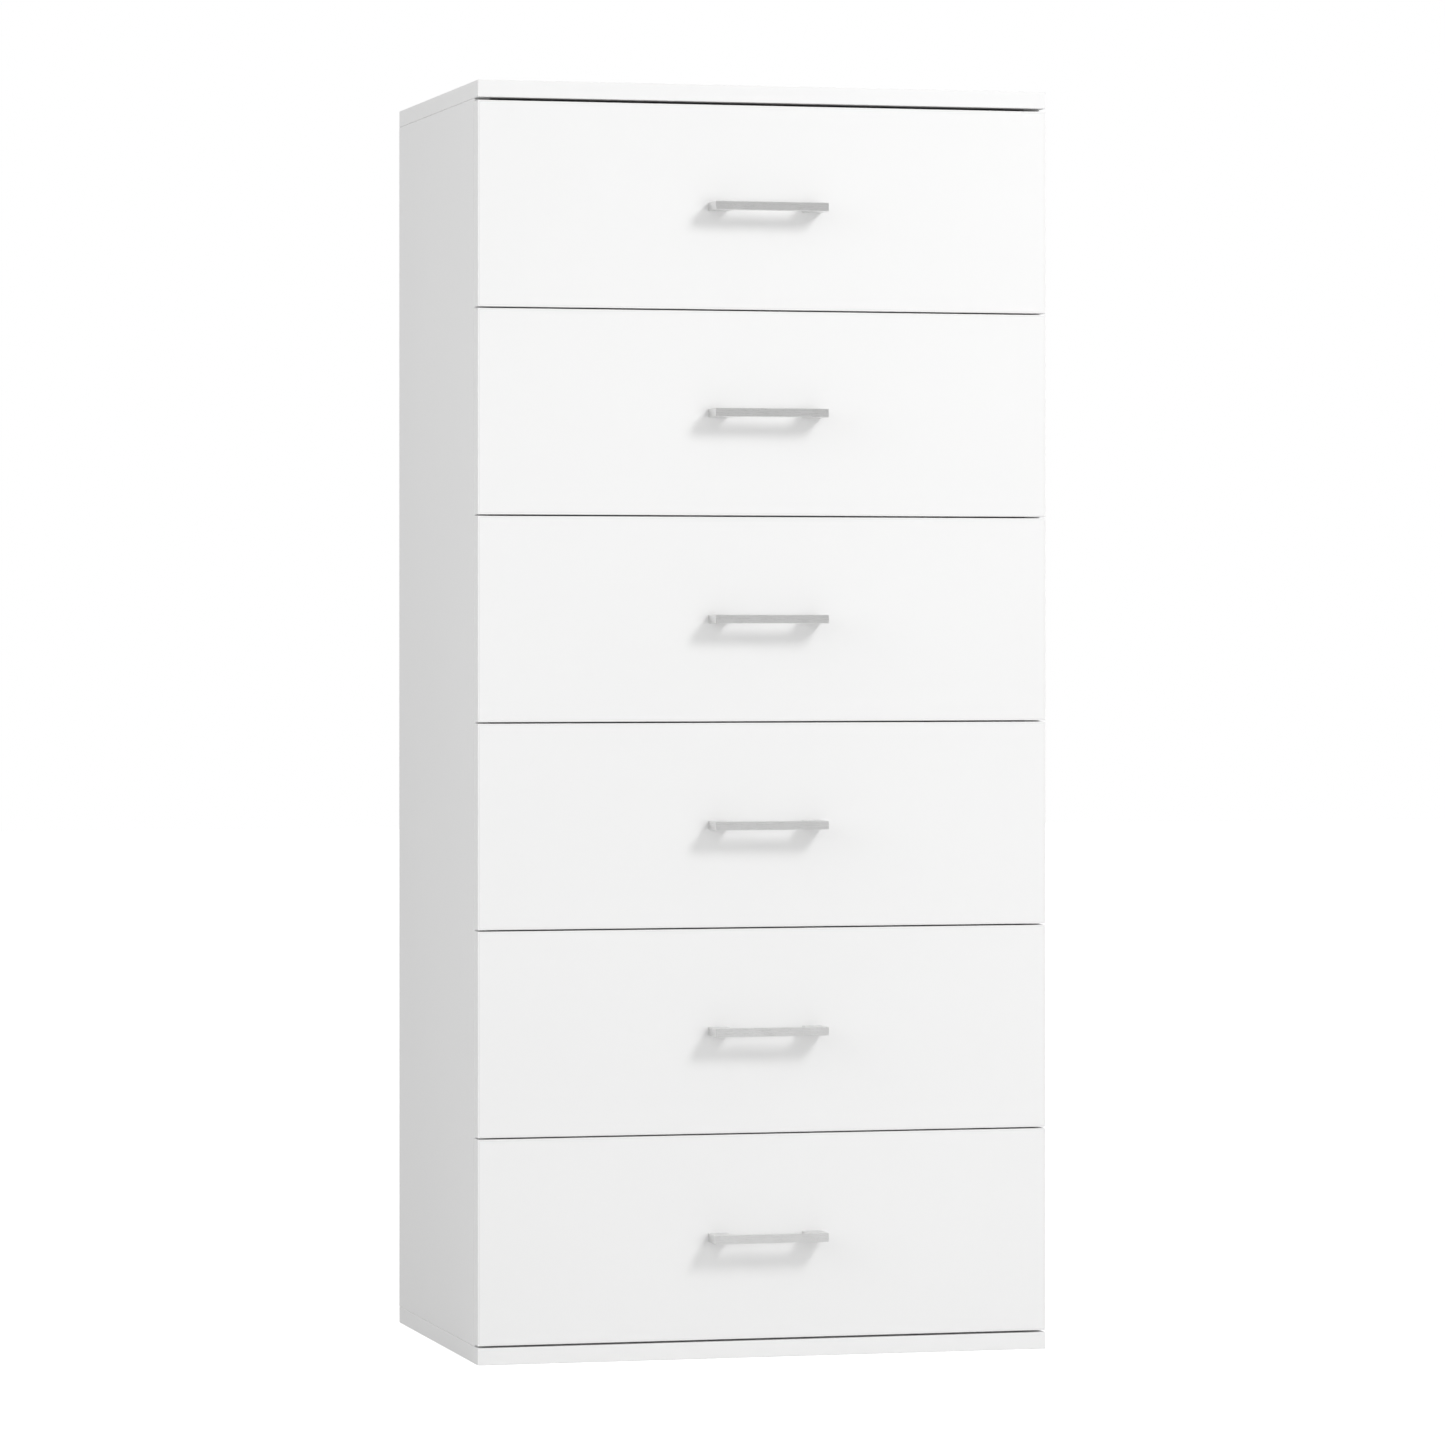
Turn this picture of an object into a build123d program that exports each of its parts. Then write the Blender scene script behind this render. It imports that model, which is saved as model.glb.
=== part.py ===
from build123d import *
import os

# A tall chest of six drawers, in millimetres.
# X is the width, the drawer fronts face -Y and Z is up; the origin is the centre of the underside.

# Carcass: melamine-faced chipboard, with the top and bottom laid over the sides and the fronts.
CHEST_WIDTH = 554.0
CHEST_DEPTH = 372.0
CHEST_HEIGHT = 1200.0
BOARD = 16.0
EDGE_RADIUS = 0.6
SIDE_FRONT_RADIUS = 2.0
SIDE_END_RADIUS = 1.0
FRONT_TO_SIDE_GAP = 1.5

# Drawer fronts: full-width panels one above the other.
DRAWER_COUNT = 6
TOP_GAP = 2.9
BOTTOM_GAP = 1.9
FRONT_GAP = 1.4

# Back: two hardboard halves in grooves, joined by an H-shaped plastic strip.
HARDBOARD = 3.0
GROOVE_WIDTH = 3.2
GROOVE_DEPTH = 6.0
GROOVE_INSET = 10.0
PANEL_INTO_GROOVE = 5.5
STRIP_WEB = 2.0
STRIP_WALL = 1.0
STRIP_HEIGHT = 20.0

# Drawer boxes.
BOX_BOARD = 12.0
BOX_LENGTH = 300.0
BOX_HEIGHT = 140.0
BOX_EDGE_RADIUS = 1.0
BOX_ABOVE_FRONT_EDGE = 14.0
BOX_GROOVE_HEIGHT = 10.0
BOX_GROOVE_DEPTH = 5.0
BOTTOM_INTO_GROOVE = 4.5

# Handles: a U-shaped bar with a broad leg at each end.
HANDLE_LENGTH = 110.0
HANDLE_PROJECTION = 28.0
HANDLE_HEIGHT = 8.0
HANDLE_BAR_DEPTH = 6.0
HANDLE_LEG_WIDTH = 18.5
HANDLE_INNER_RADIUS = 2.0
HANDLE_CORNER_RADIUS = 0.8
HANDLE_ARRIS_RADIUS = 0.4
HANDLE_SCREW_SPACING = 96.0
HANDLE_THREAD_RADIUS = 1.65
HANDLE_THREAD_DEPTH = 12.0
HANDLE_HOLE_RADIUS = 2.25

# Roller runners: 12.5 mm of room on each side of a drawer.
RUNNER_ROOM = 12.5
RUNNER_LENGTH = 300.0
RUNNER_STEEL = 1.2
RUNNER_SETBACK = 2.0
CHANNEL_REACH = 9.6
CHANNEL_INNER_HEIGHT = 18.3
CHANNEL_MOUTH = 35.0
RUNNING_FLANGE_START = 3.2
RUNNING_FLANGE_HEIGHT = 21.6
HOOK_REACH = 11.0
HOOK_SETBACK = 0.5

# Rollers and the riveted axles that they turn on.
AXLE_RADIUS = 2.5
BORE_CLEARANCE = 0.05
ROLLER_GAP = 0.3
ROLLER_HUB_RADIUS = 4.4
ROLLER_RIM = 1.2
ROLLER_RECESS = 0.6
ROLLER_EDGE_RADIUS = 0.6
RIVET_HEAD_RADIUS = 3.8
RIVET_HEAD_THICKNESS = 0.8
FRONT_ROLLER_RADIUS = 10.5
FRONT_ROLLER_INSET = 11.5
FRONT_ROLLER_SPAN = (2.2, 8.0)
REAR_ROLLER_RADIUS = 8.5
REAR_ROLLER_INSET = 14.0
REAR_ROLLER_SPAN = (4.5, 10.4)

# Screws that hold the cabinet runners.
SCREW_SHANK_RADIUS = 1.75
SCREW_LENGTH = 14.0
SCREW_TIP = 3.0
SCREW_HEAD_RADIUS = 3.2
SCREW_HEAD_HEIGHT = 1.6
SCREW_HEAD_ROUNDING = 0.8
SCREW_RECESS_DEPTH = 1.0
SCREW_HOLE_RADIUS = 2.0
SCREW_FIRST = 37.0
SCREW_SPACING = 224.0
SCREW_HEIGHT = 9.0

# Cam fittings and dowels between the side panels and the top and bottom.
CAM_RADIUS = 7.5
CAM_DEPTH = 12.5
CAM_FROM_END = 34.0
CAM_CAVITY_RADIUS = 3.8
CAM_CAVITY_LENGTH = 4.0
CAM_SLOT_RADIUS = 2.6
CAM_RECESS_DEPTH = 2.0
BOLT_THREAD_RADIUS = 3.0
BOLT_THREAD_LENGTH = 11.0
BOLT_SHANK_RADIUS = 2.5
BOLT_HOLE_RADIUS = 4.0
BOLT_HEAD_RADIUS = 3.4
BOLT_HEAD_LENGTH = 3.0
DOWEL_RADIUS = 4.0
DOWEL_INTO_PANEL = 10.0
DOWEL_INTO_SIDE = 20.0
DOWEL_CHAMFER = 1.0
CAM_FROM_CENTRE = 120.0
DOWEL_FROM_CENTRE = 88.0
RECESS_LENGTH = 6.0
RECESS_WIDTH = 1.2

# Places worked out from the sizes above.
HALF_WIDTH = CHEST_WIDTH / 2
INNER_HALF = HALF_WIDTH - BOARD
FRONT_FACE_Y = -CHEST_DEPTH / 2
REAR_Y = CHEST_DEPTH / 2
FRONT_REAR_Y = FRONT_FACE_Y + BOARD
SIDE_FRONT_Y = FRONT_REAR_Y + FRONT_TO_SIDE_GAP
FLOOR_Z = BOARD
CEILING_Z = CHEST_HEIGHT - BOARD
OPENING_HEIGHT = CEILING_Z - FLOOR_Z
FRONT_GAPS = TOP_GAP + BOTTOM_GAP + (DRAWER_COUNT - 1) * FRONT_GAP
FRONT_HEIGHT = (OPENING_HEIGHT - FRONT_GAPS) / DRAWER_COUNT
GROOVE_REAR_Y = REAR_Y - GROOVE_INSET
GROOVE_Y = (GROOVE_REAR_Y - GROOVE_WIDTH, GROOVE_REAR_Y)
BACK_Y = (GROOVE_REAR_Y - HARDBOARD, GROOVE_REAR_Y)
BACK_HALF_WIDTH = INNER_HALF + PANEL_INTO_GROOVE
BOX_OUTER_HALF = INNER_HALF - RUNNER_ROOM
BOX_INNER_HALF = BOX_OUTER_HALF - BOX_BOARD
BOX_REAR_Y = FRONT_REAR_Y + BOX_LENGTH
RUNNER_FRONT_Y = SIDE_FRONT_Y + RUNNER_SETBACK
RUNNER_Y = (RUNNER_FRONT_Y, RUNNER_FRONT_Y + RUNNER_LENGTH)
HOOK_Y = (FRONT_REAR_Y + HOOK_SETBACK, BOX_REAR_Y)
FRONT_AXLE_Y = RUNNER_FRONT_Y + FRONT_ROLLER_INSET
REAR_AXLE_Y = BOX_REAR_Y - REAR_ROLLER_INSET
SIDE_MIDDLE_X = HALF_WIDTH - BOARD / 2


def block(x, y, z):
    """A box that fills three (low, high) ranges."""
    ranges = (x, y, z)
    size = [high - low for low, high in ranges]
    centre = [(low + high) / 2 for low, high in ranges]
    return Pos(*centre) * Box(*size)


def rod(start, direction, radius, length):
    """A cylinder that runs from start along direction."""
    place = Plane(origin=start, z_dir=direction)
    return place * Cylinder(radius, length, align=(Align.CENTER, Align.CENTER, Align.MIN))


def left_and_right(piece):
    """A piece modelled on the right-hand side, with its mirror image on the left."""
    return [mirror(piece, about=Plane.YZ), piece]


def cross_recess(depth, along, middle):
    """A screwdriver cross cut in a face square to X; depth and along are its X range and centre Y."""
    reach = RECESS_LENGTH / 2
    width = RECESS_WIDTH / 2
    upright = block(depth, (along - width, along + width), (middle - reach, middle + reach))
    level = block(depth, (along - reach, along + reach), (middle - width, middle + width))
    return upright + level


def save(name, pieces):
    """Writes one sub-part, made of one or more solids."""
    export_step(Compound(children=list(pieces)), f"parts/{name}.step")


# Carcass joints: the same four corners hold cam fittings and dowels.


def joint_places(distance):
    """The right-hand joints this far in front of and behind the centre: y, joint z and outward direction."""
    for joint_z, outward in ((FLOOR_Z, -1), (CEILING_Z, 1)):
        for y in (-distance, distance):
            yield y, joint_z, outward


def cam_lock(y, joint_z, outward):
    """A cam disc in the side panel's inner face, hollowed for the bolt that it grips."""
    middle = joint_z - outward * CAM_FROM_END
    disc = rod((INNER_HALF, y, middle), (1, 0, 0), CAM_RADIUS, CAM_DEPTH)
    grip = middle + outward * BOLT_HEAD_LENGTH
    slot = rod((SIDE_MIDDLE_X, y, grip), (0, 0, outward), CAM_SLOT_RADIUS, CAM_RADIUS)
    cavity = rod((SIDE_MIDDLE_X, y, grip), (0, 0, -outward), CAM_CAVITY_RADIUS, CAM_CAVITY_LENGTH)
    recess = cross_recess((INNER_HALF, INNER_HALF + CAM_RECESS_DEPTH), y, middle)
    return disc - slot - cavity - recess


def cam_bolt(y, joint_z, outward):
    """A bolt screwed into the top or bottom, with its head in the side panel's cam."""
    start = (SIDE_MIDDLE_X, y, joint_z)
    neck = CAM_FROM_END - BOLT_HEAD_LENGTH
    head_start = (SIDE_MIDDLE_X, y, joint_z - outward * neck)
    thread = rod(start, (0, 0, outward), BOLT_THREAD_RADIUS, BOLT_THREAD_LENGTH)
    shank = rod(start, (0, 0, -outward), BOLT_SHANK_RADIUS, neck)
    head = rod(head_start, (0, 0, -outward), BOLT_HEAD_RADIUS, BOLT_HEAD_LENGTH)
    return thread + shank + head


def dowel(y, joint_z, outward):
    """A fluteless beech dowel, half in the side panel's end grain."""
    start = (SIDE_MIDDLE_X, y, joint_z + outward * DOWEL_INTO_PANEL)
    peg = rod(start, (0, 0, -outward), DOWEL_RADIUS, DOWEL_INTO_PANEL + DOWEL_INTO_SIDE)
    return chamfer(peg.edges().filter_by(GeomType.CIRCLE), DOWEL_CHAMFER)


def joint_holes_in_side():
    """The cam, bolt and dowel holes of the right side panel."""
    holes = []
    for y, joint_z, outward in joint_places(CAM_FROM_CENTRE):
        middle = joint_z - outward * CAM_FROM_END
        end = (SIDE_MIDDLE_X, y, joint_z)
        holes.append(rod((INNER_HALF, y, middle), (1, 0, 0), CAM_RADIUS, CAM_DEPTH))
        holes.append(rod(end, (0, 0, -outward), BOLT_HOLE_RADIUS, CAM_FROM_END))
    for y, joint_z, outward in joint_places(DOWEL_FROM_CENTRE):
        end = (SIDE_MIDDLE_X, y, joint_z)
        holes.append(rod(end, (0, 0, -outward), DOWEL_RADIUS, DOWEL_INTO_SIDE))
    return holes


def joint_holes_in_panel(joint_z, outward):
    """The bolt and dowel holes of the top or bottom panel, at both ends."""
    holes = []
    for y in (-CAM_FROM_CENTRE, CAM_FROM_CENTRE):
        start = (SIDE_MIDDLE_X, y, joint_z)
        holes += left_and_right(rod(start, (0, 0, outward), BOLT_THREAD_RADIUS, BOLT_THREAD_LENGTH))
    for y in (-DOWEL_FROM_CENTRE, DOWEL_FROM_CENTRE):
        start = (SIDE_MIDDLE_X, y, joint_z)
        holes += left_and_right(rod(start, (0, 0, outward), DOWEL_RADIUS, DOWEL_INTO_PANEL))
    return holes


# Carcass panels.


def end_panel(joint_z, outward):
    """The top or bottom panel: all its arrises are rounded, and its inner face has the back's groove."""
    heights = sorted((joint_z, joint_z + outward * BOARD))
    panel = block((-HALF_WIDTH, HALF_WIDTH), (FRONT_FACE_Y, REAR_Y), heights)
    panel = fillet(panel.edges(), EDGE_RADIUS)
    groove_heights = sorted((joint_z, joint_z + outward * GROOVE_DEPTH))
    groove = block((-BACK_HALF_WIDTH, BACK_HALF_WIDTH), GROOVE_Y, groove_heights)
    return panel - [groove, *joint_holes_in_panel(joint_z, outward)]


def runner_screw_places(track_z):
    """The screws of one cabinet runner, on the side panel's inner face."""
    for distance in (SCREW_FIRST, SCREW_FIRST + SCREW_SPACING):
        yield INNER_HALF, SIDE_FRONT_Y + distance, track_z + SCREW_HEIGHT


def side_panel(track_heights):
    """The right side panel, with a banded and rounded front edge and every hole that it carries."""
    panel = block((INNER_HALF, HALF_WIDTH), (SIDE_FRONT_Y, REAR_Y), (FLOOR_Z, CEILING_Z))
    outer_ends = panel.edges().filter_by(Axis.Y).group_by(Axis.X)[-1]
    panel = fillet(outer_ends, SIDE_END_RADIUS)
    front_arrises = panel.edges().filter_by(Axis.Z).group_by(Axis.Y)[0]
    panel = fillet(front_arrises, SIDE_FRONT_RADIUS)
    groove = block((INNER_HALF, INNER_HALF + GROOVE_DEPTH), GROOVE_Y, (FLOOR_Z, CEILING_Z))
    holes = [groove, *joint_holes_in_side()]
    for track_z in track_heights:
        for place in runner_screw_places(track_z):
            holes.append(rod(place, (1, 0, 0), SCREW_SHANK_RADIUS, SCREW_LENGTH))
    return panel - holes


def back_panel(low, high):
    """One hardboard half of the back."""
    return block((-BACK_HALF_WIDTH, BACK_HALF_WIDTH), BACK_Y, (low, high))


def back_joining_strip(middle):
    """The H-shaped strip that holds the two halves edge to edge."""
    width = (-INNER_HALF, INNER_HALF)
    wall_y = (BACK_Y[0] - STRIP_WALL, BACK_Y[1] + STRIP_WALL)
    strip = block(width, wall_y, (middle - STRIP_HEIGHT / 2, middle + STRIP_HEIGHT / 2))
    upper_slot = block(width, BACK_Y, (middle + STRIP_WEB / 2, middle + STRIP_HEIGHT))
    lower_slot = block(width, BACK_Y, (middle - STRIP_HEIGHT, middle - STRIP_WEB / 2))
    return strip - upper_slot - lower_slot


# Runners: x is given as the distance inwards from the side panel's face, and z from the track.


def in_runner_room(near, far, y, low, high, track_z):
    """A block in the room between the right side panel and the drawer."""
    return block((INNER_HALF - far, INNER_HALF - near), y, (track_z + low, track_z + high))


def axle(root, tip, y, height, track_z):
    """A riveted axle that stands on a runner's web, with a head that keeps the roller on."""
    inwards = 1 if tip > root else -1
    start = (INNER_HALF - root, y, track_z + height)
    head_start = (INNER_HALF - tip, y, track_z + height)
    pin = rod(start, (-inwards, 0, 0), AXLE_RADIUS, abs(tip - root))
    head = rod(head_start, (-inwards, 0, 0), RIVET_HEAD_RADIUS, RIVET_HEAD_THICKNESS)
    return pin + head


def cabinet_runner(track_z):
    """The channel screwed to the right side panel; its upper flange stops short of the front roller."""
    flange = (RUNNER_STEEL, CHANNEL_REACH)
    steel = RUNNER_STEEL
    web = in_runner_room(0, steel, RUNNER_Y, -steel, CHANNEL_INNER_HEIGHT + steel, track_z)
    track = in_runner_room(*flange, RUNNER_Y, -steel, 0, track_z)
    covered = (RUNNER_Y[0] + CHANNEL_MOUTH, RUNNER_Y[1])
    cover = in_runner_room(*flange, covered, CHANNEL_INNER_HEIGHT, CHANNEL_INNER_HEIGHT + steel, track_z)
    roller_axle = axle(
        steel, FRONT_ROLLER_SPAN[1] + ROLLER_GAP, FRONT_AXLE_Y, FRONT_ROLLER_RADIUS + ROLLER_GAP, track_z
    )
    holes = [rod(place, (-1, 0, 0), SCREW_HOLE_RADIUS, steel) for place in runner_screw_places(track_z)]
    return web + track + cover + roller_axle - holes


def drawer_runner(track_z):
    """The rail under the drawer's right side, with the flange that the front roller carries."""
    steel = RUNNER_STEEL
    web_near = RUNNER_ROOM - steel
    top = RUNNING_FLANGE_HEIGHT + steel
    web = in_runner_room(web_near, RUNNER_ROOM, HOOK_Y, -steel, top, track_z)
    hook = in_runner_room(RUNNER_ROOM, RUNNER_ROOM + HOOK_REACH, HOOK_Y, -steel, 0, track_z)
    flange = in_runner_room(RUNNING_FLANGE_START, web_near, HOOK_Y, RUNNING_FLANGE_HEIGHT, top, track_z)
    roller_axle = axle(
        web_near, REAR_ROLLER_SPAN[0] - ROLLER_GAP, REAR_AXLE_Y, REAR_ROLLER_RADIUS + ROLLER_GAP, track_z
    )
    return web + hook + flange + roller_axle


def roller(radius, span, y, track_z):
    """A plastic roller with a rounded tread and a recess round its hub on each side."""
    width = span[1] - span[0]
    start = (INNER_HALF - span[0], y, track_z + radius + ROLLER_GAP)
    inwards = (-1, 0, 0)
    wheel = rod(start, inwards, radius, width)
    wheel = fillet(wheel.edges().filter_by(GeomType.CIRCLE), ROLLER_EDGE_RADIUS)
    for face_x in (start[0], start[0] - width + ROLLER_RECESS):
        face = (face_x, start[1], start[2])
        recess = rod(face, inwards, radius - ROLLER_RIM, ROLLER_RECESS)
        wheel -= recess - rod(face, inwards, ROLLER_HUB_RADIUS, ROLLER_RECESS)
    return wheel - rod(start, inwards, AXLE_RADIUS + BORE_CLEARANCE, width)


def runner_screw(place):
    """A pan-head screw driven into the right side panel through the runner's web."""
    x, y, z = place
    head_x = x - RUNNER_STEEL
    body_length = SCREW_LENGTH - SCREW_TIP
    shank = rod((head_x, y, z), (1, 0, 0), SCREW_SHANK_RADIUS, RUNNER_STEEL + body_length)
    tip_place = Plane(origin=(x + body_length, y, z), z_dir=(1, 0, 0))
    tip = tip_place * Cone(
        SCREW_SHANK_RADIUS, 0, SCREW_TIP, align=(Align.CENTER, Align.CENTER, Align.MIN)
    )
    head = rod((head_x, y, z), (-1, 0, 0), SCREW_HEAD_RADIUS, SCREW_HEAD_HEIGHT)
    head = fillet(head.edges().group_by(Axis.X)[0], SCREW_HEAD_ROUNDING)
    face_x = head_x - SCREW_HEAD_HEIGHT
    recess = cross_recess((face_x, face_x + SCREW_RECESS_DEPTH), y, z)
    return shank + tip + (head - recess)


# Drawer pieces, placed by the height of the front's lower edge.


def drawer_front(low):
    """A front with rounded arrises, a groove for the drawer's bottom and two handle screw holes."""
    front = block((-HALF_WIDTH, HALF_WIDTH), (FRONT_FACE_Y, FRONT_REAR_Y), (low, low + FRONT_HEIGHT))
    front = fillet(front.edges(), EDGE_RADIUS)
    groove_low = low + BOX_ABOVE_FRONT_EDGE + BOX_GROOVE_HEIGHT
    groove_half = BOX_INNER_HALF + BOX_GROOVE_DEPTH
    groove = block(
        (-groove_half, groove_half),
        (FRONT_REAR_Y - GROOVE_DEPTH, FRONT_REAR_Y),
        (groove_low, groove_low + GROOVE_WIDTH),
    )
    hole_start = (HANDLE_SCREW_SPACING / 2, FRONT_FACE_Y, low + FRONT_HEIGHT / 2)
    screw_hole = rod(hole_start, (0, 1, 0), HANDLE_HOLE_RADIUS, BOARD)
    return front - [groove, *left_and_right(screw_hole)]


def drawer_handle(low):
    """A U-shaped pull, centred on the front, with a threaded hole in each leg."""
    middle = low + FRONT_HEIGHT / 2
    half_length = HANDLE_LENGTH / 2
    half_height = HANDLE_HEIGHT / 2
    tip_y = FRONT_FACE_Y - HANDLE_PROJECTION
    inner_half = half_length - HANDLE_LEG_WIDTH
    inner_y = tip_y + HANDLE_BAR_DEPTH
    height = (middle - half_height, middle + half_height)
    handle = block((-half_length, half_length), (tip_y, FRONT_FACE_Y), height)
    handle -= block((-inner_half, inner_half), (inner_y, FRONT_FACE_Y), height)
    uprights = handle.edges().filter_by(Axis.Z).group_by(Axis.Y)
    handle = fillet(uprights[1], HANDLE_INNER_RADIUS)
    uprights = handle.edges().filter_by(Axis.Z).group_by(Axis.Y)
    handle = fillet(uprights[0], HANDLE_CORNER_RADIUS)
    outline = handle.faces().filter_by(Axis.Z).edges()
    exposed = outline.filter_by(lambda edge: edge.center().Y < FRONT_FACE_Y - HANDLE_ARRIS_RADIUS)
    handle = fillet(exposed, HANDLE_ARRIS_RADIUS)
    thread_start = (HANDLE_SCREW_SPACING / 2, FRONT_FACE_Y, middle)
    thread = rod(thread_start, (0, -1, 0), HANDLE_THREAD_RADIUS, HANDLE_THREAD_DEPTH)
    return handle - left_and_right(thread)


def drawer_side(box_z):
    """The right side of a drawer, grooved for the bottom."""
    side = block((BOX_INNER_HALF, BOX_OUTER_HALF), (FRONT_REAR_Y, BOX_REAR_Y), (box_z, box_z + BOX_HEIGHT))
    side = fillet(side.edges().filter_by(Axis.Y).group_by(Axis.Z)[-1], BOX_EDGE_RADIUS)
    groove_low = box_z + BOX_GROOVE_HEIGHT
    groove = block(
        (BOX_INNER_HALF, BOX_INNER_HALF + BOX_GROOVE_DEPTH),
        (FRONT_REAR_Y, BOX_REAR_Y),
        (groove_low, groove_low + GROOVE_WIDTH),
    )
    return side - groove


def drawer_back(box_z):
    """The back of a drawer, which stands on the bottom between the sides."""
    low = box_z + BOX_GROOVE_HEIGHT + HARDBOARD
    back = block(
        (-BOX_INNER_HALF, BOX_INNER_HALF), (BOX_REAR_Y - BOX_BOARD, BOX_REAR_Y), (low, box_z + BOX_HEIGHT)
    )
    return fillet(back.edges().filter_by(Axis.X).group_by(Axis.Z)[-1], BOX_EDGE_RADIUS)


def drawer_bottom(box_z):
    """The hardboard bottom, in the grooves of the front and the sides and under the back."""
    half_width = BOX_INNER_HALF + BOTTOM_INTO_GROOVE
    low = box_z + BOX_GROOVE_HEIGHT
    return block(
        (-half_width, half_width), (FRONT_REAR_Y - PANEL_INTO_GROOVE, BOX_REAR_Y), (low, low + HARDBOARD)
    )


# Assembly.


def front_heights():
    """The height of each front's lower edge, from the top drawer down."""
    pitch = FRONT_HEIGHT + FRONT_GAP
    top = CEILING_Z - TOP_GAP - FRONT_HEIGHT
    return [top - index * pitch for index in range(DRAWER_COUNT)]


def build_carcass(track_heights):
    """Writes every piece that stays with the cabinet."""
    right_side = side_panel(track_heights)
    strip_z = (FLOOR_Z + CEILING_Z) / 2
    save("top_panel", [end_panel(CEILING_Z, 1)])
    save("bottom_panel", [end_panel(FLOOR_Z, -1)])
    save("right_side_panel", [right_side])
    save("left_side_panel", [mirror(right_side, about=Plane.YZ)])
    save("upper_back_panel", [back_panel(strip_z + STRIP_WEB / 2, CEILING_Z + PANEL_INTO_GROOVE)])
    save("lower_back_panel", [back_panel(FLOOR_Z - PANEL_INTO_GROOVE, strip_z - STRIP_WEB / 2)])
    save("back_joining_strip", [back_joining_strip(strip_z)])

    cam_places = list(joint_places(CAM_FROM_CENTRE))
    dowel_places = list(joint_places(DOWEL_FROM_CENTRE))
    runners, screws = [], []
    for track_z in track_heights:
        runners += left_and_right(cabinet_runner(track_z))
        for place in runner_screw_places(track_z):
            screws += left_and_right(runner_screw(place))
    save("cabinet_runners", runners)
    save("runner_screws", screws)
    save("cam_locks", [piece for place in cam_places for piece in left_and_right(cam_lock(*place))])
    save("cam_bolts", [piece for place in cam_places for piece in left_and_right(cam_bolt(*place))])
    save("dowels", [piece for place in dowel_places for piece in left_and_right(dowel(*place))])


def build_drawer(number, low):
    """Writes every piece of one drawer, and the rollers that it runs on."""
    name = f"drawer_{number}"
    box_z = low + BOX_ABOVE_FRONT_EDGE
    save(f"{name}_front", [drawer_front(low)])
    save(f"{name}_handle", [drawer_handle(low)])
    save(f"{name}_sides", left_and_right(drawer_side(box_z)))
    save(f"{name}_back", [drawer_back(box_z)])
    save(f"{name}_bottom", [drawer_bottom(box_z)])
    save(f"{name}_runners", left_and_right(drawer_runner(box_z)))
    rear_roller = roller(REAR_ROLLER_RADIUS, REAR_ROLLER_SPAN, REAR_AXLE_Y, box_z)
    front_roller = roller(FRONT_ROLLER_RADIUS, FRONT_ROLLER_SPAN, FRONT_AXLE_Y, box_z)
    save(f"{name}_rear_rollers", left_and_right(rear_roller))
    save(f"{name}_front_rollers", left_and_right(front_roller))


def main():
    os.makedirs("parts", exist_ok=True)
    heights = front_heights()
    build_carcass([low + BOX_ABOVE_FRONT_EDGE for low in heights])
    for number, low in enumerate(heights, start=1):
        build_drawer(number, low)


main()
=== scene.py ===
import math

import bmesh
import bpy
from mathutils import Matrix, Vector


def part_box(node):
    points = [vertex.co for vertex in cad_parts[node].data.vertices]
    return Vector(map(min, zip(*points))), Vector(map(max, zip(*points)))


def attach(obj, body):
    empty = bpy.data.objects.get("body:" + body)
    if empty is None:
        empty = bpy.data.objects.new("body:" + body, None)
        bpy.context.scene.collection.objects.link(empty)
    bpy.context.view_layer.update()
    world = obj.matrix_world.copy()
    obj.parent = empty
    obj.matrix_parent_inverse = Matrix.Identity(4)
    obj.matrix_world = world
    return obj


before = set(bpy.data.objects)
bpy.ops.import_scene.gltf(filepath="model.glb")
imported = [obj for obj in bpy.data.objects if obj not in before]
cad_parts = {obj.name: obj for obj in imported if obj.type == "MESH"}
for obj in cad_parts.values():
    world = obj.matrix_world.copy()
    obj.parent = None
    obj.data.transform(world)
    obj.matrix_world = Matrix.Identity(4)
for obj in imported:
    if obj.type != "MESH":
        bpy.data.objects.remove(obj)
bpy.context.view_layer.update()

# A tall chest of drawers, in metres: X is the width, the drawer fronts face -Y and Z is up.
MM = 0.001
DRAWERS = 6

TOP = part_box("top_panel")
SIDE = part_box("right_side_panel")
FRONT_Y = TOP[0].y
TOP_Z = TOP[1].z
BOARD = TOP[1].z - TOP[0].z
FRONT_REAR_Y = FRONT_Y + BOARD
FRONT_MIDDLE = Vector((0, FRONT_Y, TOP_Z / 2))

# Camera: level, a little above mid height, to the left of the chest and turned towards its right.
CAMERA_BACK = 5.675
CAMERA_LEFT = 1.489
CAMERA_HEIGHT = 0.689
CAMERA_TURN = 14.31
CAMERA_LENS = 154.85
CAMERA_SHIFT = -0.06597
SENSOR_WIDTH = 36
CLIP_END = 100

# Light: a bright dome, a soft key from the upper right in front, a fill for the left side and a low, more
# distant one for the fronts. Each lamp is its place, its diameter and its power.
KEY = (Vector((1.5, -2.6, 2.5)), 1.0, 39)
SIDE_FILL = (Vector((-2.6, -1.0, 1.4)), 2.0, 16)
FRONT_FILL = (Vector((1.3, -4.2, 0.3)), 1.6, 34)

# The dome gets brighter from the horizon up to the top of its haze, which is a height on a unit sphere. Where
# the camera sees the dome itself, it's plain white instead.
SKY_HORIZON = 0.36
SKY_ZENITH = 0.72
HAZE_HEIGHT = 0.085
SKY_SEEN = 1.0

# The floor glows where the camera sees it, and faintly in reflections where it lies ahead of the chest.
FLOOR_SIZE = 30
FLOOR_COLOUR = 0.6
FLOOR_GLOW = 0.75
FLOOR_REFLECTED_GLOW = 0.18
FLOOR_REFLECTED_GLOW_Y = (-0.3, -0.05)

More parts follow.
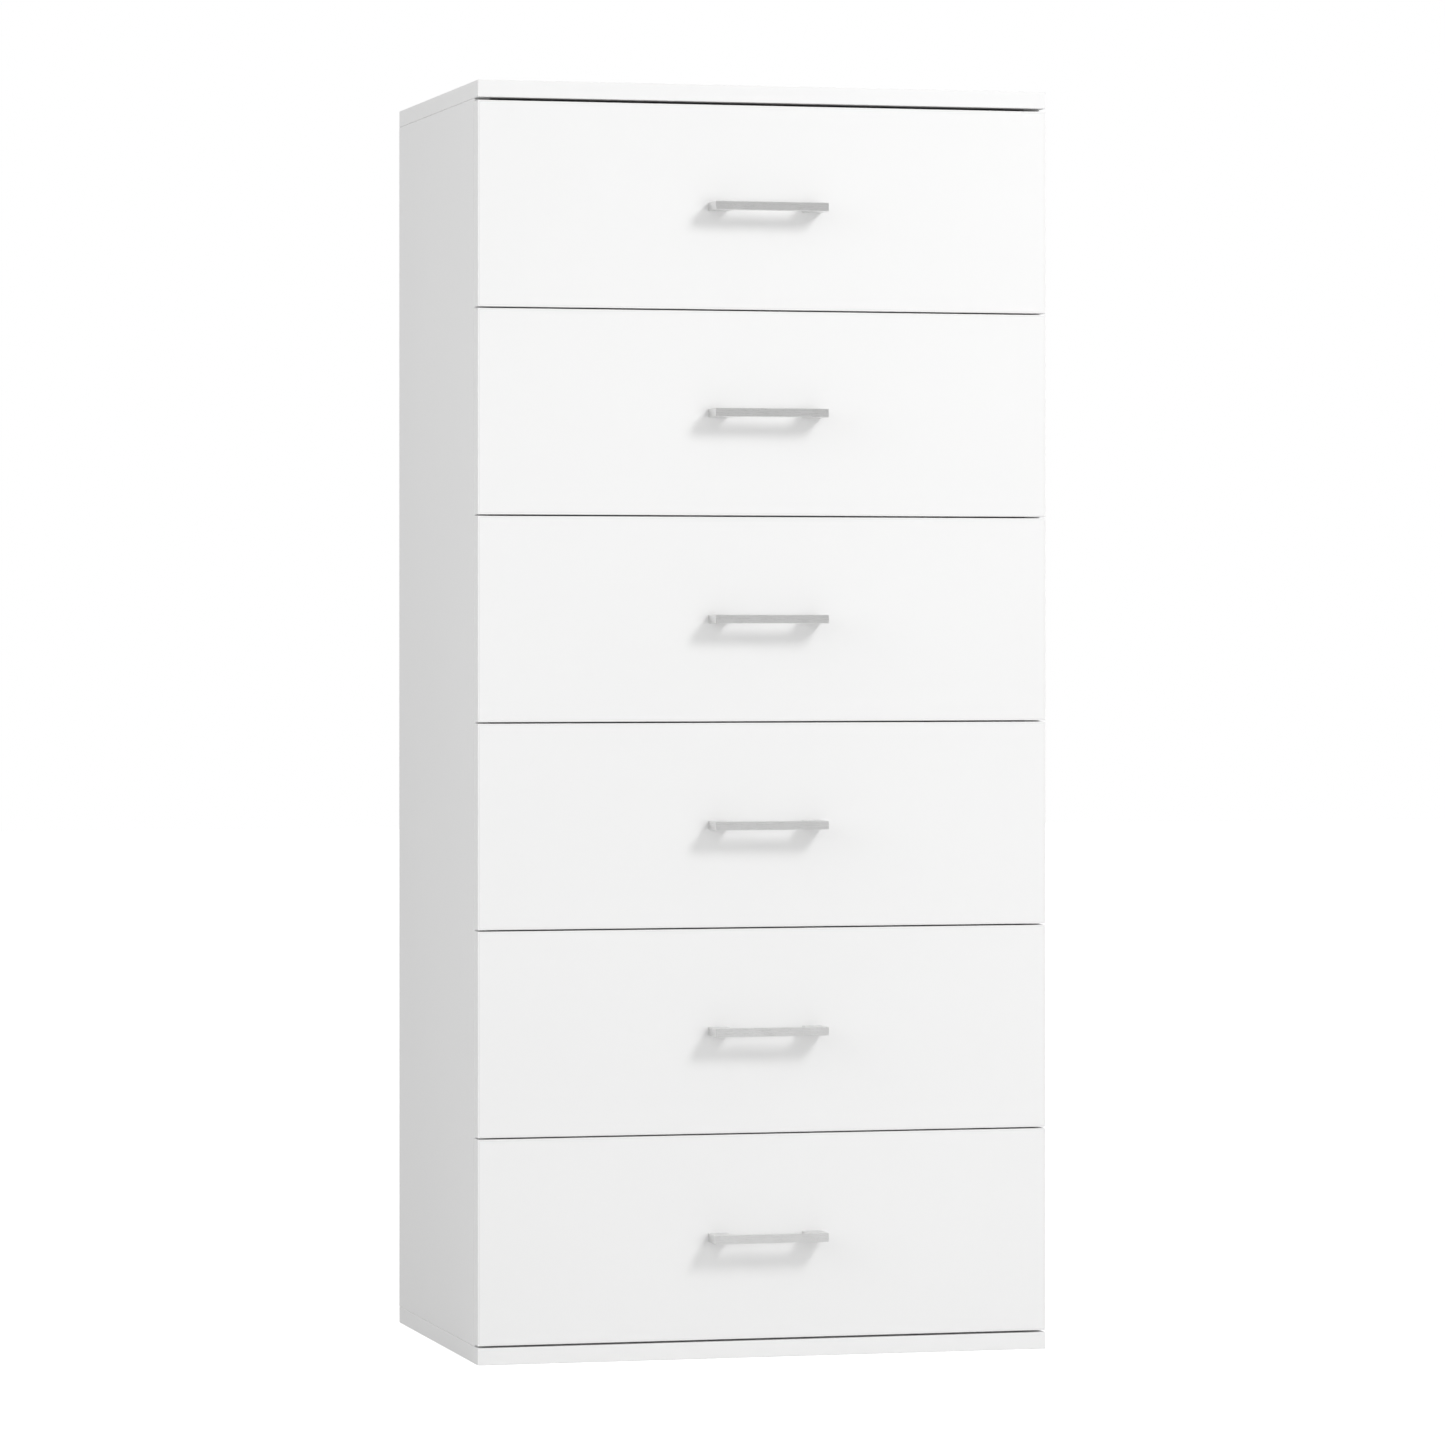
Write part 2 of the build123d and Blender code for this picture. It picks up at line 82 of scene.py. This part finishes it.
# Colours, as linear values. A pair is the darkest and the lightest tone of one finish. MOTTLE scales a colour
# that isn't a pair down to its darkest tone.
MOTTLE = 0.985
WHITE = (0.86, 0.86, 0.858)
BOX_WHITE = (0.82, 0.82, 0.815)
SEAM_WHITE = (0.70, 0.70, 0.695)
CHIPBOARD = ((0.24, 0.15, 0.075), (0.58, 0.44, 0.27))
HARDBOARD = ((0.15, 0.075, 0.032), (0.27, 0.15, 0.07))
BEECH = ((0.42, 0.25, 0.13), (0.60, 0.41, 0.24))
NICKEL = ((0.765, 0.764, 0.76), (0.815, 0.814, 0.81))
STEEL = ((0.50, 0.50, 0.47), (0.70, 0.70, 0.67))
ZINC = ((0.40, 0.41, 0.42), (0.55, 0.56, 0.57))
POWDER_WHITE = ((0.76, 0.76, 0.75), (0.81, 0.81, 0.80))
PLASTIC_WHITE = ((0.74, 0.74, 0.73), (0.79, 0.79, 0.78))
NYLON_WHITE = ((0.66, 0.65, 0.61), (0.80, 0.80, 0.77))

# Melamine boards: where the edge band's seam shows, how wide it looks, and where a range ends whose edge has
# no band.
BAND_SEAM = 1.5 * MM
BAND_SEAM_WIDTH = 0.25 * MM
FAR_AWAY = 10.0

# Shader nodes: the cosines between which a surface starts to face an axis, the values that most of a noise
# lies between, and the colour sockets of a mix node.
FACING_RANGE = (0.85, 0.95)
NOISE_RANGE = (0.3, 0.7)
MIX_COLOURS = (6, 7)
MIX_RESULT = 2


# Shader building.


class Shader:
    """One material's node tree, with short ways to add and link nodes."""

    def __init__(self, name, **values):
        """values are constants for the surface's sockets, named with _ for a space."""
        self.material = bpy.data.materials.new(name)
        self.material.use_nodes = True
        self.tree = self.material.node_tree
        self.surface = self.tree.nodes["Principled BSDF"]
        for socket, value in values.items():
            self.surface.inputs[socket.replace("_", " ")].default_value = value
        self.place = self.node("ShaderNodeTexCoord", {}).outputs["Object"]

    def node(self, kind, inputs, **settings):
        made = self.tree.nodes.new(kind)
        for key, value in settings.items():
            setattr(made, key, value)
        for socket, value in inputs.items():
            self.feed(made.inputs[socket], value)
        return made

    def feed(self, socket, value):
        if isinstance(value, bpy.types.NodeSocket):
            self.tree.links.new(value, socket)
        else:
            socket.default_value = value

    def math(self, operation, a, b=0.0):
        return self.node("ShaderNodeMath", {0: a, 1: b}, operation=operation).outputs[0]

    def stretched(self, scales):
        """The object's own coordinates, scaled along each axis."""
        return self.node("ShaderNodeMapping", {"Vector": self.place, "Scale": scales}).outputs[0]

    def noise(self, scale, detail=3.0, roughness=0.5, where=None):
        inputs = {"Vector": where or self.place, "Scale": scale, "Detail": detail, "Roughness": roughness}
        return self.node("ShaderNodeTexNoise", inputs).outputs["Fac"]

    def streaks(self, scales, detail, roughness):
        """Noise with a scale of its own along each axis."""
        return self.noise(1.0, detail, roughness, self.stretched(scales))

    def spread(self, value, low, high, start=0.0, end=1.0):
        """value from start..end mapped to low..high, and clamped there."""
        inputs = {"Value": value, "From Min": start, "From Max": end, "To Min": low, "To Max": high}
        return self.node("ShaderNodeMapRange", inputs).outputs[0]

    def share(self, value, start, end):
        """How far value has come from start to end, from 0 to 1."""
        return self.spread(value, 0.0, 1.0, start, end)

    def mix(self, share, first, second):
        """A colour from first, at share 0, to second, at share 1."""
        made = self.node("ShaderNodeMix", {0: share}, data_type="RGBA")
        for index, value in zip(MIX_COLOURS, (first, second)):
            self.feed(made.inputs[index], value if isinstance(value, bpy.types.NodeSocket) else (*value, 1.0))
        return made.outputs[MIX_RESULT]

    def bump(self, pattern, depth):
        """A pattern's bump, with its depth in metres, added to any that is there."""
        made = self.node("ShaderNodeBump", {"Height": pattern, "Distance": depth, "Strength": 1.0})
        normal = self.surface.inputs["Normal"]
        if normal.is_linked:
            self.tree.links.new(normal.links[0].from_socket, made.inputs["Normal"])
        self.tree.links.new(made.outputs[0], normal)

    def colour(self, value):
        self.feed(self.surface.inputs["Base Color"], value)

    def roughness(self, value):
        self.feed(self.surface.inputs["Roughness"], value)

    def uneven_roughness(self, noise, low, high):
        """Roughness that follows a noise from low to high."""
        self.roughness(self.spread(noise, low, high, *NOISE_RANGE))

    def axis(self, name):
        """One object coordinate."""
        return self.node("ShaderNodeSeparateXYZ", {0: self.place}).outputs[name]

    def facing(self, name, sign):
        """1 where the surface faces along an object axis, otherwise 0."""
        normal = self.node("ShaderNodeTexCoord", {}).outputs["Normal"]
        part = self.node("ShaderNodeSeparateXYZ", {0: normal}).outputs[name]
        return self.share(self.math("MULTIPLY", part, sign), *FACING_RANGE)


def darker(colour):
    """The darkest tone of a plain colour."""
    return tuple(value * MOTTLE for value in colour)


def chipboard_colour(shader):
    """The cut edge of chipboard: pale and dark flakes pressed flat together."""
    cells = {"Vector": shader.stretched((520, 520, 760)), "Scale": 1.0}
    cell_colour = shader.node("ShaderNodeTexVoronoi", cells).outputs["Color"]
    flake = shader.node("ShaderNodeSeparateXYZ", {0: cell_colour}).outputs["X"]
    flakes = shader.math("MULTIPLY", flake, 0.7)
    grain = shader.math("MULTIPLY", shader.noise(900, detail=4.0), 0.35)
    return shader.mix(shader.math("ADD", flakes, grain), *CHIPBOARD)


def edge_distance(shader, axis, low, high):
    """How far a point is from the nearer end of a range along one object axis."""
    place = shader.axis(axis)
    return shader.math("MINIMUM", shader.math("SUBTRACT", place, low), shader.math("SUBTRACT", high, place))


def melamine(name, white, ranges, thickness, raw=None):
    """White melamine on a board that is thin along one axis.

    ranges holds, for each axis with banded edges, where the board ends. raw is the axis that its bare
    chipboard edge faces.
    """
    shader = Shader(name, Specular_IOR_Level=0.25)
    tone = shader.share(shader.noise(2.3, detail=2.0), 0.35, 0.65)
    colour = shader.mix(tone, darker(white), white)
    if ranges:
        gaps = [edge_distance(shader, axis, *limits) for axis, limits in ranges.items()]
        gap = gaps[0] if len(gaps) == 1 else shader.math("MINIMUM", *gaps)
        off_seam = shader.math("ABSOLUTE", shader.math("SUBTRACT", gap, BAND_SEAM))
        on_seam = shader.spread(off_seam, 1.0, 0.0, end=BAND_SEAM_WIDTH)
        faces = shader.math("MAXIMUM", shader.facing(thickness, 1), shader.facing(thickness, -1))
        colour = shader.mix(shader.math("MULTIPLY", on_seam, faces), colour, SEAM_WHITE)
    if raw:
        bare = shader.facing(raw, 1)
        colour = shader.mix(bare, colour, chipboard_colour(shader))
        shader.bump(shader.math("MULTIPLY", shader.noise(1400), bare), 0.4 * MM)
    shader.colour(colour)
    shader.uneven_roughness(shader.noise(420, detail=2.0), 0.38, 0.47)
    shader.bump(shader.noise(1700, detail=2.0), 0.012 * MM)
    shader.bump(shader.noise(28, detail=2.0), 0.05 * MM)
    return shader.material


def hardboard(name, bare_axis, bare_sign):
    """Hardboard lacquered white on one face and raw on the other, where the fibres show."""
    shader = Shader(name, Specular_IOR_Level=0.35)
    fibres = shader.noise(190, detail=8.0, roughness=0.72, where=shader.stretched((1.0, 1.0, 2.2)))
    specks = shader.share(shader.noise(1100, detail=2.0), 0.35, 0.7)
    tone = shader.math("ADD", shader.math("MULTIPLY", fibres, 0.7), shader.math("MULTIPLY", specks, 0.3))
    raw = shader.mix(shader.share(tone, 0.3, 0.75), *HARDBOARD)
    bare = shader.facing(bare_axis, bare_sign)
    shader.colour(shader.mix(bare, BOX_WHITE, raw))
    shader.roughness(shader.spread(bare, 0.46, 0.82))
    shader.bump(shader.math("MULTIPLY", fibres, bare), 0.35 * MM)
    shader.bump(shader.noise(240), 0.03 * MM)
    return shader.material


def satin_nickel():
    """Plated die casting: faint drawn lines along the bar and a fine grain."""
    shader = Shader("satin_nickel", Metallic=1.0)
    lines = shader.streaks((60, 5200, 5200), detail=3.0, roughness=0.6)
    cloud = shader.noise(70)
    tone = shader.share(shader.math("ADD", lines, cloud), 0.7, 1.3)
    shader.colour(shader.mix(tone, *NICKEL))
    shader.uneven_roughness(lines, 0.25, 0.37)
    shader.bump(lines, 0.006 * MM)
    shader.bump(shader.noise(2600, detail=2.0), 0.004 * MM)
    return shader.material


def powder_coat():
    """White epoxy on rolled steel, with its orange peel."""
    shader = Shader("powder_coat", Specular_IOR_Level=0.5)
    peel = shader.noise(620, detail=2.0)
    shader.colour(shader.mix(shader.noise(35), *POWDER_WHITE))
    shader.uneven_roughness(peel, 0.3, 0.42)
    shader.bump(peel, 0.05 * MM)
    return shader.material


def nylon():
    """Natural nylon: slightly translucent, with a fine grain and a little grime."""
    shader = Shader("nylon", Subsurface_Weight=0.25, Subsurface_Scale=2 * MM)
    clean = shader.spread(shader.noise(160, detail=5.0, roughness=0.6), 1.0, 0.0, 0.45, 0.75)
    shader.colour(shader.mix(clean, *NYLON_WHITE))
    shader.uneven_roughness(shader.noise(500), 0.34, 0.5)
    shader.bump(shader.noise(1200, detail=2.0), 0.02 * MM)
    return shader.material


def white_plastic():
    """Extruded plastic, with fine lines along its length."""
    shader = Shader("white_plastic")
    lines = shader.streaks((8, 900, 900), detail=2.0, roughness=0.5)
    shader.colour(shader.mix(lines, *PLASTIC_WHITE))
    shader.uneven_roughness(shader.noise(300), 0.34, 0.46)
    shader.bump(lines, 0.03 * MM)
    return shader.material


def bare_metal(name, tones, grain, smoothest):
    """Cast or plated metal with duller stains. smoothest is its roughness where there are none."""
    shader = Shader(name, Metallic=1.0)
    clean = shader.share(shader.noise(240, detail=5.0, roughness=0.65), 0.35, 0.7)
    shader.colour(shader.mix(clean, *tones))
    shader.roughness(shader.spread(clean, smoothest + 0.12, smoothest))
    shader.bump(shader.noise(grain), 0.04 * MM)
    return shader.material


def beech():
    """Straight-grained beech, with the short flecks of its rays."""
    shader = Shader("beech", Roughness=0.6, Specular_IOR_Level=0.3)
    grain = shader.streaks((900, 900, 60), detail=6.0, roughness=0.65)
    rays = shader.streaks((2200, 2200, 420), detail=2.0, roughness=0.5)
    flecks = shader.share(rays, 0.6, 0.75)
    tone = shader.math("SUBTRACT", grain, shader.math("MULTIPLY", flecks, 0.3))
    shader.colour(shader.mix(shader.share(tone, 0.2, 0.7), *BEECH))
    shader.bump(grain, 0.08 * MM)
    return shader.material


def paint(node, material):
    """Gives a CAD node its material."""
    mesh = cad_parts[node].data
    mesh.materials.clear()
    mesh.materials.append(material)


# Carcass and drawers: the CAD shapes are right, so they only get their finishes.


def face_ranges(node, axes):
    """The extent of a CAD node along each of the named axes."""
    low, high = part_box(node)
    return {axis: (getattr(low, axis.lower()), getattr(high, axis.lower())) for axis in axes}


def finish_carcass():
    metal = bare_metal("plated_steel", STEEL, grain=900, smoothest=0.24)
    zinc = bare_metal("zinc_alloy", ZINC, grain=1500, smoothest=0.36)
    coat = powder_coat()
    for name in ("top_panel", "bottom_panel"):
        paint(name, melamine(f"{name}_melamine", WHITE, face_ranges(name, "XY"), "Z"))
    for name in ("left_side_panel", "right_side_panel"):
        banded = {"Y": (SIDE[0].y, FAR_AWAY)}
        paint(name, melamine(f"{name}_melamine", WHITE, banded, "X", raw="Y"))
    back = hardboard("back_hardboard", "Y", 1)
    for name in ("upper_back_panel", "lower_back_panel"):
        paint(name, back)
    paint("back_joining_strip", white_plastic())
    paint("cabinet_runners", coat)
    paint("cam_locks", zinc)
    paint("cam_bolts", metal)
    paint("runner_screws", metal)
    paint("dowels", beech())
    return {"metal": metal, "zinc": zinc, "coat": coat}


def finish_drawers(shared):
    handle = satin_nickel()
    rollers = nylon()
    bottom = hardboard("bottom_hardboard", "Z", -1)
    box_board = melamine("box_melamine", BOX_WHITE, {}, "Z", raw="Y")
    for number in range(1, DRAWERS + 1):
        name = f"drawer_{number}"
        front = f"{name}_front"
        paint(front, melamine(f"{front}_melamine", WHITE, face_ranges(front, "XZ"), "Y"))
        paint(f"{name}_handle", handle)
        paint(f"{name}_sides", box_board)
        paint(f"{name}_back", box_board)
        paint(f"{name}_bottom", bottom)
        paint(f"{name}_runners", shared["coat"])
        paint(f"{name}_rear_rollers", rollers)
        paint(f"{name}_front_rollers", rollers)


shared_finishes = finish_carcass()
finish_drawers(shared_finishes)


# Fasteners inside the drawers: each kind is turned about its own axis, cut, and set in its places.
# Each is turned in SEGMENTS steps and shaded smooth, but for edges that turn by more than SHARP_ANGLE.
# A profile's points are (radius, height) in millimetres, with the surface that it sits on at height 0.

SEGMENTS = 40
SHARP_ANGLE = math.radians(32)
HANDLE_SCREW = (
    (0, -26), (1.1, -26), (1.6, -25.2), (1.6, 0), (4, 0),
    (4, 0.9), (3.7, 1.7), (2.9, 2.3), (1.6, 2.6), (0, 2.7),
)
CAM_DISC = (
    (0, -3), (7.4, -3), (7.4, 0.15), (7.1, 0.4), (5.6, 0.4),
    (5.4, 0.15), (3.9, 0.15), (3.7, 0.4), (0, 0.4),
)
CORNER_SCREW = ((0, -30), (1.2, -30), (1.9, -28), (1.9, -3), (3.4, -0.6), (3.5, 0.2), (3.2, 0.3), (0, 0.3))
BOTTOM_NAIL = ((0, -14), (0.7, -12), (0.7, 0), (1.7, 0), (1.8, 0.2), (1.6, 0.45), (0, 0.5))
RAIL_SCREW = ((0, -11), (1.5, -8), (1.5, 0), (3, 0), (3, 0.6), (2.6, 1.1), (1.7, 1.4), (0, 1.5))

# The cross-shaped recess in their heads: the length and width of an arm at the top and at the foot, and the
# depth in each kind of head, in millimetres.
DRIVER_ARM = (4.2, 0.95)
DRIVER_ARM_FOOT = (1.7, 0.6)
HANDLE_SCREW_RECESS = 1.5
CAM_RECESS = 1.2
CORNER_SCREW_RECESS = 1.5
RAIL_SCREW_RECESS = 0.9

# Where they sit in a drawer.
HANDLE_SCREW_OFFSET = 48 * MM
CAM_INSET = 24 * MM
CAM_FROM_EDGES = 34 * MM
CORNER_SCREW_HEIGHTS = (42 * MM, 112 * MM)
NAIL_SPACING = 150 * MM
RAIL_SCREW_INSETS = (40 * MM, 150 * MM, 260 * MM)


def lathe(profile):
    """A closed mesh turned about Z."""
    shape = bmesh.new()
    rings = []
    for radius, height in profile:
        turns = SEGMENTS if radius else 1
        angles = [2 * math.pi * turn / turns for turn in range(turns)]
        points = [(radius * MM * math.cos(a), radius * MM * math.sin(a), height * MM) for a in angles]
        rings.append([shape.verts.new(point) for point in points])
    for lower, upper in zip(rings, rings[1:]):
        for turn in range(SEGMENTS):
            corners = (
                lower[turn % len(lower)],
                lower[(turn + 1) % len(lower)],
                upper[(turn + 1) % len(upper)],
                upper[turn % len(upper)],
            )
            shape.faces.new(list(dict.fromkeys(corners)))
    mesh = bpy.data.meshes.new("turned")
    shape.to_mesh(mesh)
    shape.free()
    return mesh


def driver_cross(top, depth):
    """The mesh of a cross-shaped recess, which narrows to its foot."""
    shape = bmesh.new()
    for turn in (0, 90):
        arm = bmesh.ops.create_cube(shape, size=1)["verts"]
        for vertex in arm:
            foot = vertex.co.z < 0
            length, width = DRIVER_ARM_FOOT if foot else DRIVER_ARM
            height = top - depth if foot else top + 1
            vertex.co = Vector((vertex.co.x * length * MM, vertex.co.y * width * MM, height * MM))
        bmesh.ops.rotate(shape, verts=arm, matrix=Matrix.Rotation(math.radians(turn), 3, "Z"))
    mesh = bpy.data.meshes.new("cross")
    shape.to_mesh(mesh)
    shape.free()
    return mesh


def cut(body, tool):
    """The body mesh with the tool mesh taken out of it. The tool's parts may cross each other."""
    objects = [bpy.data.objects.new("cut", mesh) for mesh in (body, tool)]
    for thing in objects:
        bpy.context.scene.collection.objects.link(thing)
    boolean = objects[0].modifiers.new("cut", "BOOLEAN")
    boolean.object = objects[1]
    boolean.use_self = True
    graph = bpy.context.evaluated_depsgraph_get()
    result = bpy.data.meshes.new_from_object(objects[0].evaluated_get(graph))
    for thing in objects:
        bpy.data.objects.remove(thing)
    return result


def driven(profile, recess):
    """A turned mesh with the driver's recess in its head."""
    head_top = profile[-1][1]
    return cut(lathe(profile), driver_cross(head_top, recess))


def placed(mesh, places, name):
    """One mesh of copies, each at a point with its head facing along a direction."""
    shape = bmesh.new()
    for point, direction in places:
        count = len(shape.verts)
        shape.from_mesh(mesh)
        shape.verts.ensure_lookup_table()
        turn = Vector(direction).to_track_quat("Z", "Y").to_matrix().to_4x4()
        bmesh.ops.transform(shape, matrix=Matrix.Translation(point) @ turn, verts=shape.verts[count:])
    joined = bpy.data.meshes.new(name)
    shape.to_mesh(joined)
    shape.free()
    return joined


def add_piece(name, mesh, places, body, material):
    """Adds one kind of fastener to a body."""
    joined = placed(mesh, places, name)
    joined.materials.append(material)
    for face in joined.polygons:
        face.use_smooth = True
    joined.set_sharp_from_angle(angle=SHARP_ANGLE)
    piece = bpy.data.objects.new(name, joined)
    bpy.context.scene.collection.objects.link(piece)
    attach(piece, body)


def fastener_places(name):
    """Where one drawer's fasteners sit, each as a point and the direction that its head faces."""
    front_low, front_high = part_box(f"{name}_front")
    side_low, side_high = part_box(f"{name}_sides")
    back_low, back_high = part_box(f"{name}_back")
    bottom_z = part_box(f"{name}_bottom")[0].z
    rail_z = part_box(f"{name}_runners")[0].z
    middle_z = (front_low.z + front_high.z) / 2
    back_y = (back_low.y + back_high.y) / 2
    rail_x = (back_high.x + side_high.x) / 2
    screws = [((x, FRONT_REAR_Y, middle_z), (0, 1, 0)) for x in (-HANDLE_SCREW_OFFSET, HANDLE_SCREW_OFFSET)]
    cams, corners, rails = [], [], []
    for sign in (-1, 1):
        for z in (side_low.z + CAM_FROM_EDGES, side_high.z - CAM_FROM_EDGES):
            cams.append(((sign * back_high.x, side_low.y + CAM_INSET, z), (-sign, 0, 0)))
        for height in CORNER_SCREW_HEIGHTS:
            corners.append(((sign * side_high.x, back_y, side_low.z + height), (sign, 0, 0)))
        for inset in RAIL_SCREW_INSETS:
            rails.append(((sign * rail_x, side_low.y + inset, rail_z), (0, 0, -1)))
    nails = [((x, back_y, bottom_z), (0, 0, -1)) for x in (-NAIL_SPACING, 0, NAIL_SPACING)]
    return screws, cams, corners, rails, nails


def add_fasteners(metal, zinc):
    handle_screw = driven(HANDLE_SCREW, HANDLE_SCREW_RECESS)
    cam_disc = driven(CAM_DISC, CAM_RECESS)
    corner_screw = driven(CORNER_SCREW, CORNER_SCREW_RECESS)
    rail_screw = driven(RAIL_SCREW, RAIL_SCREW_RECESS)
    nail = lathe(BOTTOM_NAIL)
    for number in range(1, DRAWERS + 1):
        name = f"drawer_{number}"
        screws, cams, corners, rails, nails = fastener_places(name)
        add_piece(f"{name}_handle_screws", handle_screw, screws, name, metal)
        add_piece(f"{name}_cam_locks", cam_disc, cams, name, zinc)
        add_piece(f"{name}_corner_screws", corner_screw, corners, name, metal)
        add_piece(f"{name}_rail_screws", rail_screw, rails, name, metal)
        add_piece(f"{name}_bottom_nails", nail, nails, name, metal)


add_fasteners(shared_finishes["metal"], shared_finishes["zinc"])


# Surroundings: a pale floor, a white dome and three soft lamps.


def build_floor():
    shader = Shader("floor_paper", Roughness=0.85, Specular_IOR_Level=0.1, Emission_Color=(1, 1, 1, 1))
    ray = shader.node("ShaderNodeLightPath", {}).outputs
    seen = shader.math("MULTIPLY", ray["Is Camera Ray"], FLOOR_GLOW)
    ahead = shader.spread(shader.axis("Y"), FLOOR_REFLECTED_GLOW, 0.0, *FLOOR_REFLECTED_GLOW_Y)
    reflected = shader.math("MULTIPLY", ray["Is Glossy Ray"], ahead)
    shader.feed(shader.surface.inputs["Emission Strength"], shader.math("ADD", seen, reflected))
    pale = (FLOOR_COLOUR,) * 3
    shader.colour(shader.mix(shader.noise(3.0), darker(pale), pale))
    shader.bump(shader.noise(60, detail=4.0), 0.1 * MM)
    half = FLOOR_SIZE / 2
    mesh = bpy.data.meshes.new("floor")
    corners = [(-half, -half, 0), (half, -half, 0), (half, half, 0), (-half, half, 0)]
    mesh.from_pydata(corners, [], [(0, 1, 2, 3)])
    mesh.materials.append(shader.material)
    floor = bpy.data.objects.new("floor", mesh)
    bpy.context.scene.collection.objects.link(floor)


def build_sky():
    world = bpy.data.worlds.new("studio")
    bpy.context.scene.world = world
    world.use_nodes = True
    tree = world.node_tree
    tree.nodes.clear()
    coordinates = tree.nodes.new("ShaderNodeTexCoord")
    split = tree.nodes.new("ShaderNodeSeparateXYZ")
    height = tree.nodes.new("ShaderNodeMapRange")
    height.inputs["From Max"].default_value = HAZE_HEIGHT
    height.inputs["To Min"].default_value = SKY_HORIZON
    height.inputs["To Max"].default_value = SKY_ZENITH
    light = tree.nodes.new("ShaderNodeBackground")
    seen = tree.nodes.new("ShaderNodeBackground")
    seen.inputs["Strength"].default_value = SKY_SEEN
    ray = tree.nodes.new("ShaderNodeLightPath")
    mix = tree.nodes.new("ShaderNodeMixShader")
    output = tree.nodes.new("ShaderNodeOutputWorld")
    for background in (light, seen):
        background.inputs["Color"].default_value = (1, 1, 1, 1)
    links = tree.links
    links.new(coordinates.outputs["Generated"], split.inputs[0])
    links.new(split.outputs["Z"], height.inputs["Value"])
    links.new(height.outputs[0], light.inputs["Strength"])
    links.new(ray.outputs["Is Camera Ray"], mix.inputs[0])
    links.new(light.outputs[0], mix.inputs[1])
    links.new(seen.outputs[0], mix.inputs[2])
    links.new(mix.outputs[0], output.inputs["Surface"])


def build_lamp(name, place, size, power):
    """A round soft lamp that points at the middle of the drawer fronts."""
    lamp = bpy.data.lights.new(name, "AREA")
    lamp.shape = "DISK"
    lamp.size = size
    lamp.energy = power
    holder = bpy.data.objects.new(name, lamp)
    holder.location = place
    holder.rotation_euler = (place - FRONT_MIDDLE).to_track_quat("Z", "Y").to_euler()
    holder.visible_glossy = False
    bpy.context.scene.collection.objects.link(holder)


def build_camera():
    data = bpy.data.cameras.new("camera")
    data.lens = CAMERA_LENS
    data.sensor_width = SENSOR_WIDTH
    data.shift_y = CAMERA_SHIFT
    data.clip_end = CLIP_END
    camera = bpy.data.objects.new("camera", data)
    camera.location = (-CAMERA_LEFT, FRONT_Y - CAMERA_BACK, CAMERA_HEIGHT)
    camera.rotation_euler = (math.radians(90), 0, math.radians(-CAMERA_TURN))
    bpy.context.scene.collection.objects.link(camera)
    bpy.context.scene.camera = camera


build_floor()
build_sky()
build_lamp("key", *KEY)
build_lamp("side_fill", *SIDE_FILL)
build_lamp("front_fill", *FRONT_FILL)
build_camera()
bpy.context.scene.view_settings.view_transform = "Standard"
